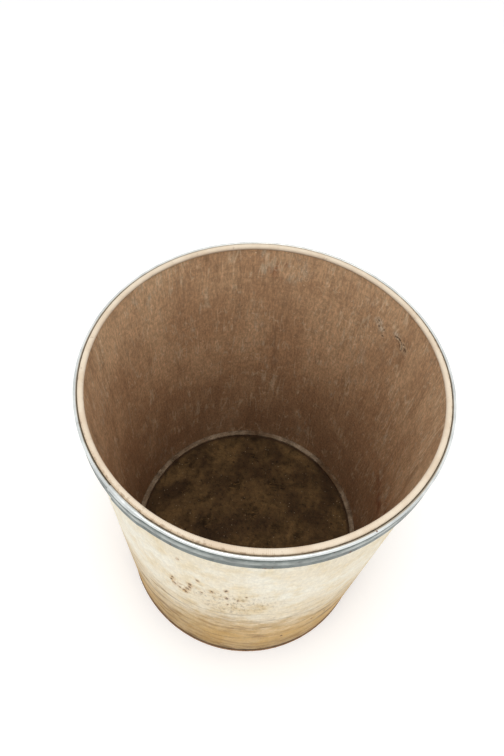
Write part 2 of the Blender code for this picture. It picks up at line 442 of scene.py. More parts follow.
# Rim band
DENT_DEPTH = 0.00022
DENT_SCALE = 38
SMALL_DENT_SCALE = 110
BAND_TUCK = 0.0001
BAND_EDGE = BAND_TOP.z - LAP_STEP
BAND_FOOT = BAND_LOW.z + LAP_STEP
CROWN_LEVEL = (BAND_EDGE - SHOULDER_DEPTH + BAND_FOOT + CREASE_RISE) / 2
NICKS = [Mark(236.5, BAND_TOP.z, 0.0040, 0.0006), Mark(262.0, BAND_TOP.z, 0.0060, 0.0004)]
SECTION_MATCH = math.radians(0.01)


def band_line(offset):
    """Line of the band's sheet in section, from the rolled edge to the hem, moved outwards by an offset."""
    top = BAND_EDGE
    foot = BAND_FOOT
    half_sheet = SHEET_THICKNESS / 2
    grip = WALL_RADIUS + FIT_CLEARANCE
    face_r = WALL_RADIUS + FACE_STAND
    crown_reach = CROWN_LEVEL - (foot + CREASE_RISE)
    crown_drop = CROWN_HEIGHT + CREASE_DEPTH
    crown_radius = CROWN_FULLNESS * crown_reach ** 2 / (2 * crown_drop) - CREASE_BEND_RADIUS
    lip_r = WALL_RADIUS + LIP_STAND
    line = open_outline([
        Bend(grip + LAP_STEP + BEAD_RADIUS, top - BEAD_RADIUS, BEAD_RADIUS - half_sheet + offset, -1, 14),
        Bend(grip + half_sheet + NECK_BEND_RADIUS, top - NECK_DEPTH, NECK_BEND_RADIUS - offset, 1, 6),
        Bend(face_r - SHOULDER_BEND_RADIUS, top - SHOULDER_DEPTH, SHOULDER_BEND_RADIUS + offset, -1, 5),
        Bend(face_r + CROWN_HEIGHT - crown_radius, CROWN_LEVEL, crown_radius + offset, -1, 5),
        Bend(face_r - CREASE_DEPTH + CREASE_BEND_RADIUS, foot + CREASE_RISE,
             CREASE_BEND_RADIUS - offset, 1, 4),
        Bend(lip_r - LIP_BEND_RADIUS, foot + half_sheet + LIP_BEND_RADIUS,
             LIP_BEND_RADIUS + offset, -1, 5),
    ], BEAD_CURL_END, -math.pi / 2)
    line.append(Vector((grip, line[-1].y)))
    return line


def spin_strip(strip, steps, angle):
    """Sweep a traced line about Z. A positive angle goes towards higher bearings."""
    enter_edit()
    bpy.ops.mesh.select_all(action="SELECT")
    bpy.ops.mesh.spin(steps=steps, angle=-angle, center=(0, 0, 0), axis=(0, 0, 1))
    leave_edit()


def at_bearing(point, bearing):
    difference = (polar(point)[1] - bearing + math.pi) % (2 * math.pi) - math.pi
    return abs(difference) < SECTION_MATCH


def band_shift(point, radius, bearing):
    """Shallow dents all over the band, and nicks in its rolled edge."""
    dent = noise.noise(point * DENT_SCALE) + 0.5 * noise.noise(point * SMALL_DENT_SCALE)
    outwards = rim_shift(bearing, point.z) - BAND_TUCK - DENT_DEPTH * max(dent, 0)
    upwards = 0
    for nick in NICKS:
        gap = (point - facing(nick.bearing, nick.height, WALL_RADIUS + 1.6 * BEAD_RADIUS)).length
        upwards -= nick.depth * (1 - smooth_step(0, nick.radius, gap))
    return outwards, upwards


def make_band(steel):
    """Sweep the sheet line round the rim, and bridge it to the lapped end that covers its other end."""
    inner_end = LAP_BEARING + LAP_ANGLE
    body_start = inner_end + JOGGLE_END
    lap_start = inner_end + JOGGLE_START
    band = trace("rim_band_steel", band_line(0), body_start)
    spin_strip(band, COLUMNS, 2 * math.pi - JOGGLE_END)
    lap = trace("lapped_end", band_line(LAP_STEP), lap_start)
    spin_strip(lap, round(COLUMNS * LAP_ANGLE / math.pi), LAP_BEARING - lap_start)
    deselect_all()
    lap.select_set(True)
    band.select_set(True)
    bpy.context.view_layer.objects.active = band
    bpy.ops.object.join()
    select_where("VERT", band.data.vertices,
                 lambda v: at_bearing(v.co, body_start) or at_bearing(v.co, lap_start))
    bpy.ops.mesh.bridge_edge_loops()
    bpy.ops.mesh.select_all(action="SELECT")
    bpy.ops.mesh.normals_make_consistent(inside=False)
    leave_edit()
    push_vertices(band, band_shift)
    sheet = band.modifiers.new("sheet", "SOLIDIFY")
    sheet.thickness = SHEET_THICKNESS
    sheet.offset = 0
    bpy.ops.object.modifier_apply(modifier=sheet.name)
    finish_piece(band, [steel], "rim_band")


# Rings and bottom
def make_ring(name, node, low, high, width, board):
    """Fibreboard ring with rounded edges, seated against the wall's inner face."""
    outer = high.x - RING_EDGE_RADIUS
    inner = high.x - width + RING_EDGE_RADIUS
    bottom = low.z + RING_EDGE_RADIUS
    top = high.z - RING_EDGE_RADIUS
    corners = [(inner, bottom), (outer, bottom), (outer, top), (inner, top)]
    ring = trace(name, closed_outline([Bend(r, z, RING_EDGE_RADIUS, 1, 4) for r, z in corners]))
    spin_full(ring)
    push_vertices(ring, ring_shift)
    finish_piece(ring, [board], node)


def ring_shift(point, radius, bearing):
    """Slight unevenness of a ring's inner edge."""
    share = 1 - smooth_step(BOTTOM_RADIUS - 0.012, BOTTOM_RADIUS - 0.006, radius)
    return RING_UNEVENNESS * share * noise.noise(point * RING_SCALE), 0


def make_bottom(board):
    edge = BOTTOM_TOP.x - BOTTOM_EDGE_RADIUS
    low = Bend(edge, BOTTOM_LOW.z + BOTTOM_EDGE_RADIUS, BOTTOM_EDGE_RADIUS, 1, 3)
    high = Bend(edge, BOTTOM_TOP.z - BOTTOM_EDGE_RADIUS, BOTTOM_EDGE_RADIUS, 1, 3)
    rim = open_outline([low, high], -math.pi / 2, math.pi / 2)
    disc = trace("bottom_board", [Vector((0, BOTTOM_LOW.z)), *rim, Vector((0, BOTTOM_TOP.z))])
    subdivide_runs(disc, BOTTOM_RADIUS / 2, BOTTOM_ROWS)
    spin_full(disc)
    push_vertices(disc, bottom_shift)
    finish_piece(disc, [board], "bottom_disc")


def bottom_shift(point, radius, bearing):
    """The bottom sags unevenly between its rings."""
    free = 1 - smooth_step(0.2, BOTTOM_RADIUS - FOOT_RING_WIDTH, radius)
    ripple = 0.5 + 0.5 * noise.noise(point * SAG_SCALE) + 0.15 * noise.noise(point * RIPPLE_SCALE)
    return 0, -BOTTOM_SAG * free * min(max(ripple, 0), 1)


# Colours, as they look in plain light
def srgb(red, green, blue):
    """Linear colour of a colour that is given as it shows, from 0 to 255."""
    linear = []
    for value in (red, green, blue):
        share = value / 255
        linear.append(share / 12.92 if share <= 0.04045 else ((share + 0.055) / 1.055) ** 2.4)
    return (*linear, 1)


CREAM = srgb(246, 234, 208)
CREAM_PALE = srgb(252, 246, 228)
CREAM_BUFF = srgb(234, 210, 158)
OCHRE = srgb(214, 184, 128)
OCHRE_DARK = srgb(176, 140, 84)
OCHRE_ORANGE = srgb(226, 184, 114)
TIDE_BROWN = srgb(122, 88, 48)
CHIP_BROWN = srgb(76, 48, 26)
CHIP_EDGE = srgb(200, 160, 104)
# Dark brown of the foot: dirt on the ragged lip, and painted shade in the crevice above it
FOOT_DIRT_AND_CREASE_SHADE = srgb(62, 42, 24)
FOOT_RAW = srgb(166, 128, 90)
BEAD_TAN = srgb(226, 212, 191)
BEAD_PINK = srgb(208, 186, 160)
# Bead colour for painted shade, on its outer shoulder and towards the crease below it
BEAD_PAINTED_SHADE = srgb(204, 180, 150)
BEAD_DIRT = srgb(120, 88, 60)
BOARD_LIGHT = srgb(216, 180, 142)
BOARD_MID = srgb(196, 158, 122)
# Darker board, for streaks and for painted shade low in the drum
BOARD_STREAK_AND_DEPTH_SHADE = srgb(142, 108, 79)
BOARD_RED = srgb(146, 88, 58)
BOARD_GREY = srgb(206, 188, 162)
BOARD_SPECK = srgb(236, 216, 184)
BOARD_RUBBED = srgb(214, 196, 172)
BOARD_DARK = srgb(66, 45, 30)
# Brown of the bottom, darker than the board itself: partly painted shade, as of things lying on the bottom
FLOOR_BROWN_AND_SHADE = srgb(74, 55, 35)
FLOOR_PALE = srgb(138, 110, 70)
FLOOR_STAIN = srgb(30, 20, 12)
RING_BROWN = srgb(112, 86, 60)
STEEL = srgb(112, 120, 118)
STEEL_PALE = srgb(182, 190, 187)
STEEL_DULL = srgb(88, 95, 94)
# Painted highlight: bright steel for the rolled edge
STEEL_PAINTED_HIGHLIGHT = srgb(232, 236, 235)
# Pale grime: dirt on the band, and painted light in the shaded gap beside the bead
STEEL_GRIME_AND_GAP_LIGHT = srgb(166, 152, 130)
RUST = srgb(104, 62, 34)
WHITE = srgb(252, 252, 252)


# Node tools
EVEN = (1, 1, 1)


class Net:
    """Adds nodes to one tree and joins them. Position is the place that its masks are drawn at."""

    def __init__(self, tree, position=None):
        self.tree = tree
        self.position = position

    def feed(self, socket, value):
        """Join a socket's value to a socket, or set the socket to a plain value."""
        if isinstance(value, bpy.types.NodeSocket):
            self.tree.links.new(value, socket)
        else:
            socket.default_value = value

    def node(self, kind, inputs, **settings):
        made = self.tree.nodes.new(kind)
        for key, value in settings.items():
            setattr(made, key, value)
        for key, value in inputs.items():
            self.feed(made.inputs[key], value)
        return made

    def math(self, operation, first, second=0.0, clamp=False):
        made = self.node("ShaderNodeMath", {0: first, 1: second}, operation=operation, use_clamp=clamp)
        return made.outputs[0]

    def times(self, first, second, clamp=False):
        return self.math("MULTIPLY", first, second, clamp)

    def plus(self, first, second):
        return self.math("ADD", first, second)

    def minus(self, first, second):
        return self.math("SUBTRACT", first, second)

    def more(self, first, second):
        """The larger of two values."""
        return self.math("MAXIMUM", first, second)

    def around(self, value, middle):
        """How far a value is from a middle value."""
        return self.math("ABSOLUTE", self.minus(value, middle))

    def vector(self, operation, first, second):
        made = self.node("ShaderNodeVectorMath", {0: first, 1: second}, operation=operation)
        return made.outputs["Value" if operation in ("DISTANCE", "LENGTH", "DOT_PRODUCT") else "Vector"]

    def ramp(self, value, low, high):
        """Smooth mask that goes from 0 at low to 1 at high."""
        made = self.node("ShaderNodeMapRange", {"Value": value, "From Min": low, "From Max": high},
                         interpolation_type="SMOOTHSTEP")
        return made.outputs["Result"]

    def fade(self, value, low, high):
        """Smooth mask that goes from 1 at low to 0 at high."""
        return self.minus(1.0, self.ramp(value, low, high))

    def noise(self, position, scale, detail=2, roughness=0.5):
        made = self.node("ShaderNodeTexNoise", {"Vector": position, "Scale": scale, "Detail": detail,
                                                "Roughness": roughness})
        return made.outputs["Fac"]

    def mix(self, base, colour, mask, blend="MIX"):
        made = self.node("ShaderNodeMix", {0: mask, 6: base, 7: colour}, data_type="RGBA", blend_type=blend)
        return made.outputs[2]

    def tint(self, base, colour, mask, share, clamp=False):
        """Lay a colour over a base where a mask shows, by a share of it."""
        return self.mix(base, colour, self.times(mask, share, clamp))

    def use(self, group, output, **inputs):
        """Place a node group, and return the output or outputs that are named."""
        made = self.node("ShaderNodeGroup", {}, node_tree=group)
        if "Position" in made.inputs:
            inputs.setdefault("Position", self.position)
        for key, value in inputs.items():
            self.feed(made.inputs[key], value)
        if isinstance(output, str):
            return made.outputs[output]
        return [made.outputs[name] for name in output]

    def mottle(self, stretch, scale, detail, low, high):
        return self.use(MOTTLE, "Mask", Stretch=stretch, Scale=scale, Detail=detail, Low=low, High=high)

    def specks(self, position, spacing, share, size):
        return self.use(SPECKS, "Mask", Position=position, Spacing=spacing, Share=share, Size=size)

    def scratches(self, stretch, scale, width, share):
        return self.use(SCRATCHES, "Mask", Stretch=stretch, Scale=scale, Width=width, Share=share)

    def fibre(self, scale):
        return self.use(FIBRE, ("Height", "Tone"), Scale=scale)

    def patch(self, position, centre, radius, softness, ragged, fray):
        return self.use(PATCH, "Mask", Position=position, Centre=centre, Radius=radius, Ragged=ragged,
                        Fray=fray, Softness=softness)

    def mark(self, mark, surface_radius, ragged, fray, softness):
        """Patch at a mark on a cylinder. Softness is a share of the mark's own radius."""
        centre = facing(mark.bearing, mark.height, surface_radius)
        return self.patch(self.position, centre, mark.radius, mark.radius * softness, ragged, fray)


def new_group(name, vectors, values, outputs):
    """Start a node group with the named inputs and outputs, and return its net and its two ends."""
    group = bpy.data.node_groups.new(name, "ShaderNodeTree")
    for names, way, kind in ((vectors, "INPUT", "Vector"), (values, "INPUT", "Float"),
                             (outputs, "OUTPUT", "Float")):
        for socket_name in names.split():
            group.interface.new_socket(name=socket_name, in_out=way, socket_type="NodeSocket" + kind)
    source = group.nodes.new("NodeGroupInput").outputs
    sink = group.nodes.new("NodeGroupOutput").inputs
    return Net(group), source, sink


def make_drum_place():
    """Radius, bearing and height of a place on the drum."""
    net, source, sink = new_group("Drum place", "Position", "", "Radius Bearing Height")
    parts = net.node("ShaderNodeSeparateXYZ", {0: source["Position"]}).outputs
    flat = net.node("ShaderNodeCombineXYZ", {0: parts["X"], 1: parts["Y"]}).outputs[0]
    net.feed(sink["Radius"], net.vector("LENGTH", flat, (0, 0, 0)))
    net.feed(sink["Bearing"], net.math("ARCTAN2", parts["Y"], parts["X"]))
    net.feed(sink["Height"], parts["Z"])
    return net.tree


def make_mottle():
    """Cloudy or streaky mask. Stretch makes the clouds short along an axis where it is high."""
    net, source, sink = new_group("Mottle", "Position Stretch", "Scale Detail Low High", "Mask")
    stretched = net.vector("MULTIPLY", source["Position"], source["Stretch"])
    cloud = net.noise(stretched, source["Scale"], source["Detail"], 0.6)
    net.feed(sink["Mask"], net.ramp(cloud, source["Low"], source["High"]))
    return net.tree


def make_specks():
    """Scattered specks: Share is how many cells hold one, and Size its largest radius."""
    net, source, sink = new_group("Specks", "Position", "Spacing Share Size", "Mask")
    scale = net.math("DIVIDE", 1.0, source["Spacing"])
    cells = net.node("ShaderNodeTexVoronoi", {"Vector": source["Position"], "Scale": scale})
    away = net.times(cells.outputs["Distance"], source["Spacing"])
    chance = net.node("ShaderNodeSeparateColor", {0: cells.outputs["Color"]}).outputs
    held = net.math("LESS_THAN", chance["Red"], source["Share"])
    reach = net.times(source["Size"], net.plus(0.3, chance["Green"]))
    spot = net.fade(away, net.times(reach, 0.5), reach)
    net.feed(sink["Mask"], net.times(held, spot))
    return net.tree


def make_patch():
    """Ragged-edged round patch. Ragged is a noise value that pushes its edge in and out by Fray."""
    net, source, sink = new_group("Patch", "Position Centre", "Radius Ragged Fray Softness", "Mask")
    away = net.vector("DISTANCE", source["Position"], source["Centre"])
    push = net.times(net.minus(source["Ragged"], 0.5), source["Fray"])
    away = net.plus(away, push)
    inner = net.minus(source["Radius"], source["Softness"])
    net.feed(sink["Mask"], net.fade(away, inner, source["Radius"]))
    return net.tree


def make_tide_line():
    """Water mark at a level: sharp at its upper edge and fading below."""
    net, source, sink = new_group("Tide line", "", "Height Level Width Wander Reach", "Line")
    drift = net.times(net.minus(source["Wander"], 0.5), source["Reach"])
    above = net.minus(net.plus(source["Height"], drift), source["Level"])
    crest = net.fade(above, 0.0, net.times(source["Width"], 0.4))
    tail = net.ramp(above, net.times(source["Width"], -2.2), 0.0)
    net.feed(sink["Line"], net.times(crest, net.math("POWER", tail, 2.5)))
    return net.tree


def make_scratches():
    """Hairline marks: the places where a stretched noise crosses its middle, kept in patches."""
    net, source, sink = new_group("Scratches", "Position Stretch", "Scale Width Share", "Mask")
    stretched = net.vector("MULTIPLY", source["Position"], source["Stretch"])
    hair = net.noise(stretched, source["Scale"], 1)
    away = net.around(hair, 0.5)
    line = net.fade(away, 0.0, source["Width"])
    kept = net.noise(source["Position"], 24, 3)
    threshold = net.minus(1, source["Share"])
    patches = net.ramp(kept, threshold, net.plus(threshold, 0.12))
    net.feed(sink["Mask"], net.times(line, patches))
    return net.tree


def make_fibre():
    """Paper fibre: fine upright and level fibres over a grain. Height is for bump, Tone for colour."""
    net, source, sink = new_group("Fibre", "Position", "Scale", "Height Tone")
    upright = net.noise(net.vector("MULTIPLY", source["Position"], (1, 1, 0.16)), source["Scale"], 3)
    level = net.noise(net.vector("MULTIPLY", source["Position"], (0.2, 0.2, 1)), source["Scale"], 2)
    grain = net.noise(source["Position"], net.times(source["Scale"], 1.7), 3, 0.7)
    crossed = net.plus(upright, net.times(level, 0.7))
    height = net.times(net.plus(crossed, grain), 0.37)
    net.feed(sink["Height"], height)
    net.feed(sink["Tone"], net.ramp(height, 0.38, 0.62))
    return net.tree


DRUM_PLACE = make_drum_place()
MOTTLE = make_mottle()
SPECKS = make_specks()
PATCH = make_patch()
TIDE_LINE = make_tide_line()
SCRATCHES = make_scratches()
FIBRE = make_fibre()


def new_material(name, roughness=0.7, metallic=0.0, shine=0.5):
    """Material with one Principled BSDF. Returns it with its net, its shader and its Object coordinates."""
    material = bpy.data.materials.new(name)
    material.use_nodes = True
    net = Net(material.node_tree)
    shader = material.node_tree.nodes["Principled BSDF"]
    shader.inputs["Roughness"].default_value = roughness
    shader.inputs["Metallic"].default_value = metallic
    shader.inputs["Specular IOR Level"].default_value = shine
    net.position = net.node("ShaderNodeTexCoord", {}).outputs["Object"]
    return material, net, shader, net.position


def set_finish(net, shader, colour, roughness, height, depth):
    """Join a colour, a roughness and a bump height to a shader. Depth is the height's full relief."""
    bump = net.node("ShaderNodeBump", {"Height": height, "Distance": depth, "Strength": 1.0})
    net.feed(shader.inputs["Base Color"], colour)
    net.feed(shader.inputs["Roughness"], roughness)
    net.feed(shader.inputs["Normal"], bump.outputs["Normal"])


# Layers of a chip and of a torn hole: reach, softness and fray are shares of its radius
Layer = namedtuple("Layer", "colour strength reach softness fray")
CHIP_LAYERS = [Layer(CHIP_EDGE, 0.55, 2.4, 1.4, 3), Layer(CHIP_BROWN, 0.9, 1, 0.5, 4)]
HOLE_LAYERS = [Layer(BOARD_SPECK, 0.22, 2.6, 1, 3), Layer(BOARD_DARK, 0.75, 1.1, 0.4, 2)]


def lay_damage(net, colour, layers, position, centre, size, ragged):
    """Tint a colour with each layer of a chip or a hole."""
    for layer in layers:
        fray = size * layer.fray
        mask = net.patch(position, centre, size * layer.reach, size * layer.softness, ragged, fray)
        colour = net.tint(colour, layer.colour, mask, layer.strength)
    return colour


# Outer coating
Tide = namedtuple("Tide", "level width strength reach")
TIDES = [
    Tide(0.404, 0.006, 0.25, 0.12), Tide(0.362, 0.006, 0.5, -0.1), Tide(0.334, 0.005, 0.7, 0.17),
    Tide(0.316, 0.009, 0.75, -0.07), Tide(0.276, 0.006, 0.6, 0.22), Tide(0.246, 0.02, 0.7, -0.13),
    Tide(0.206, 0.026, 0.75, 0.16), Tide(0.158, 0.012, 0.55, -0.1), Tide(0.104, 0.014, 0.5, 0.09),
]
SILT = Mark(274, 0.250, 0.170)
SCUFFS = [Mark(263, 0.462, 0.068), Mark(273, 0.450, 0.080), Mark(267, 0.420, 0.070)]
STAIN_SIDES = [Mark(200, 0.120, 0.190), Mark(285, 0.210, 0.200), Mark(330, 0.110, 0.200)]


def make_coating():
    material, net, shader, position = new_material("cream_coating", roughness=0.6, shine=0.22)
    radius, height = net.use(DRUM_PLACE, ("Radius", "Height"))
    upright = net.vector("MULTIPLY", position, (1, 1, UPRIGHT))
    wander = net.noise(net.vector("MULTIPLY", position, (1, 1, 0.7)), 5, 1.6, 0.5)
    feathered = net.plus(wander, net.times(net.noise(position, 40, 3, 0.5), 0.05))
    ragged = net.noise(upright, 300, 3, 0.6)
    fibre_height, fibre_tone = net.fibre(300)
    grain = net.mottle((1, 1, 0.6), scale=170, detail=5, low=0.42, high=0.66)
    brushed = net.mottle((0.5, 0.5, 1), scale=48, detail=8, low=0.36, high=0.68)
    clouds = net.mottle((1, 1, 1.4), scale=9, detail=5, low=0.38, high=0.62)
    blotches = net.mottle((1, 1, 0.7), scale=30, detail=7, low=0.44, high=0.7)
    colour = net.mix(CREAM, CREAM_PALE, clouds)
    colour = net.tint(colour, CREAM_BUFF, blotches, 0.4)

    # Ochre stain that rises from the foot, strongest at three sides
    drift = net.times(net.minus(wander, 0.5), 0.2)
    stain_height = net.plus(height, drift)
    rise = net.fade(stain_height, 0.13, 0.5)
    patchy = net.plus(0.7, net.times(brushed, 0.26))
    patchy = net.plus(patchy, net.times(blotches, 0.3))
    rise = net.times(rise, patchy)
    colour = net.mix(colour, OCHRE, rise)
    deep = net.times(net.fade(stain_height, 0.06, 0.4), net.times(patchy, 0.9))
    colour = net.mix(colour, OCHRE_DARK, deep)
    streaky = net.mottle((0.55, 0.55, 1), scale=46, detail=9, low=0.5, high=0.66)
    colour = net.tint(colour, TIDE_BROWN, streaky, net.times(rise, 0.5))
    for side in STAIN_SIDES:
        spread = net.mark(side, WALL_RADIUS, wander, fray=0.16, softness=0.8)
        colour = net.tint(colour, OCHRE_ORANGE, spread, net.times(rise, 0.7))

    # Silt that settled low on the front
    silted = net.mark(SILT, WALL_RADIUS, wander, fray=0.12, softness=0.8)
    colour = net.tint(colour, OCHRE_DARK, silted, net.times(brushed, 0.6))

    # Tide lines, each fading in and out along its length
    dwindling = net.mottle((0.6, 0.6, 1), scale=12, detail=5, low=0.4, high=0.62)
    dwindling = net.plus(0.3, net.times(dwindling, 0.7))
    dwindling = net.times(dwindling, net.plus(0.45, net.times(brushed, 0.75)))
    for tide in TIDES:
        line = net.use(TIDE_LINE, "Line", Height=height, Level=tide.level, Width=tide.width, Wander=feathered,
                       Reach=tide.reach)
        colour = net.tint(colour, TIDE_BROWN, line, net.times(dwindling, tide.strength))

    # Scuffs: raised fibres and fine brown dots
    fine = net.specks(upright, spacing=0.005, share=0.45, size=0.0017)
    crazed = net.mottle((1, 1, 0.4), scale=170, detail=4, low=0.5, high=0.66)
    fine = net.more(fine, crazed)
    scuffed = 0.0
    for scuff in SCUFFS:
        patch = net.mark(scuff, WALL_RADIUS, brushed, fray=0.03, softness=0.7)
        scuffed = net.more(scuffed, patch)
    colour = net.tint(colour, OCHRE, scuffed, net.plus(0.18, net.times(blotches, 0.35)))
    colour = net.tint(colour, TIDE_BROWN, scuffed, net.times(fine, 0.42))
    low = net.fade(height, 0.05, 0.34)
    grit = net.specks(upright, spacing=0.01, share=0.22, size=0.002)
    colour = net.tint(colour, TIDE_BROWN, grit, net.plus(0.12, net.times(low, 0.4)))

    # Chips through the coating, and the tan ring round the largest cluster
    tanned = net.mark(CHIP_RING, WALL_RADIUS, wander, fray=0.03, softness=0.7)
    colour = net.tint(colour, CHIP_EDGE, tanned, net.times(crazed, 0.5))
    for chip in CHIPS:
        centre = facing(chip.bearing, chip.height, WALL_RADIUS)
        centre.z *= UPRIGHT
        colour = lay_damage(net, colour, CHIP_LAYERS, upright, centre, chip.radius, ragged)

    # Foot: brown just above the crevice, painted shade in the crevice itself and in a band of dirt above the
    # lip, and the bare lip under it
    splashed = net.specks(position, spacing=0.006, share=0.55, size=0.0024)
    near = net.plus(net.times(splashed, 0.9), net.plus(0.15, brushed))
    near = net.times(net.fade(height, 0.012, 0.08), near)
    colour = net.tint(colour, TIDE_BROWN, near, 0.75, clamp=True)
    lip = net.fade(height, FOOT_LIP_HEIGHT + 0.0002, FOOT_LIP_HEIGHT + 0.001)
    lip_colour = net.mix(FOOT_RAW, FOOT_DIRT_AND_CREASE_SHADE, net.ramp(ragged, 0.54, 0.7))
    colour = net.mix(colour, lip_colour, lip)
    set_back = net.fade(radius, WALL_RADIUS + 0.0002, WALL_RADIUS + 0.0009)
    # Painted shade: the crevice above the lip is darkened, where shade falls in it
    crevice = net.fade(net.around(height, FOOT_LIP_HEIGHT + 0.0012), 0.0016, 0.008)
    crevice = net.times(crevice, set_back)
    colour = net.tint(colour, FOOT_DIRT_AND_CREASE_SHADE, crevice, 0.85)
    # A dark band reaching some 26 mm above the lip: dirt, and the crevice's painted shade carried upwards
    dirt_and_shade_above_lip = net.fade(height, FOOT_LIP_HEIGHT + 0.002, FOOT_LIP_HEIGHT + 0.026)
    dirt_and_shade_above_lip = net.times(net.times(dirt_and_shade_above_lip, set_back), net.plus(0.35, net.times(brushed, 0.6)))
    colour = net.mix(colour, FOOT_DIRT_AND_CREASE_SHADE, dirt_and_shade_above_lip)

    worn = net.plus(0.85, net.times(net.plus(grain, fibre_tone), 0.1))
    colour = net.mix(colour, worn, 1.0, "MULTIPLY")
    roughness = net.plus(0.5, net.times(net.more(rise, blotches), 0.22))
    relief = net.plus(net.times(fibre_height, 0.6), net.times(brushed, 0.4))
    set_finish(net, shader, colour, roughness, relief, depth=0.00035)
    return material


# Curled bead
RIBS = 740


def make_bead():
    material, net, shader, position = new_material("curled_bead", roughness=0.7, shine=0.2)
    radius, bearing, height = net.use(DRUM_PLACE, ("Radius", "Bearing", "Height"))
    ragged = net.noise(position, 180, 3, 0.6)
    clouds = net.mottle(EVEN, scale=26, detail=4, low=0.42, high=0.66)
    colour = net.tint(BEAD_TAN, BEAD_PINK, clouds, 0.55)
    turn = net.times(bearing, RIBS)
    ribs = net.plus(net.times(net.math("SINE", turn), 0.5), 0.5)
    strength = net.mottle(EVEN, scale=40, detail=2, low=0.35, high=0.75)
    ribbing = net.times(ribs, net.plus(0.25, net.times(strength, 0.75)))
    colour = net.tint(colour, BEAD_PINK, ribbing, 0.6)
    # Painted shade: the bead darkens towards its outer shoulder, beside the gap to the band
    outer = net.ramp(radius, WALL_RADIUS - 0.0016, WALL_RADIUS)
    colour = net.tint(colour, BEAD_PAINTED_SHADE, outer, 0.7)
    seam = net.ramp(radius, WALL_RADIUS - 0.003, WALL_RADIUS - 0.0008)
    grimy = net.times(seam, net.ramp(ragged, 0.48, 0.66))
    colour = net.tint(colour, BEAD_DIRT, grimy, 0.45)
    # Painted shade: the bead darkens downwards to the crease beneath it
    crease = net.fade(height, CURL_FOOT, DRUM_HEIGHT - 0.005)
    colour = net.tint(colour, BEAD_PAINTED_SHADE, crease, 0.9)
    dirt = net.specks(position, spacing=0.016, share=0.16, size=0.0018)
    colour = net.tint(colour, BEAD_DIRT, dirt, 0.6)
    smudge = net.mottle(EVEN, scale=70, detail=4, low=0.62, high=0.74)
    colour = net.tint(colour, BEAD_DIRT, smudge, 0.35)
    roughness = net.plus(0.62, net.times(ragged, 0.2))
    relief = net.plus(net.times(ribbing, 0.5), net.times(ragged, 0.5))
    set_finish(net, shader, colour, roughness, relief, depth=0.0004)
    return material


# Inner board
RED_PATCHES = [Mark(2, 0.280, 0.070), Mark(352, 0.360, 0.050), Mark(87, 0.662, 0.050)]
RUBS = [Mark(45.6, 0.642, 0.015), Mark(43.6, 0.630, 0.011), Mark(36.5, 0.650, 0.012)]
# Pale patches on the inner board. The one at bearing 146, high on the left, is painted light where that side
# of the wall faces the light
PALE_AND_LIT_PATCHES = [Mark(*values) for values in (
    (44.5, 0.64, 0.03), (34.9, 0.59, 0.034), (352.0, 0.33, 0.11), (21.0, 0.421, 0.05),
    (14.6, 0.3, 0.07), (86.0, 0.667, 0.06), (146.0, 0.66, 0.06),
)]

# Lines along the flake's arc: distance from its centre, colour and strength
FLAKE_LINES = [(0.0140, BOARD_DARK, 0.90), (0.0072, BOARD_DARK, 0.55), (0.0118, BOARD_SPECK, 0.35)]


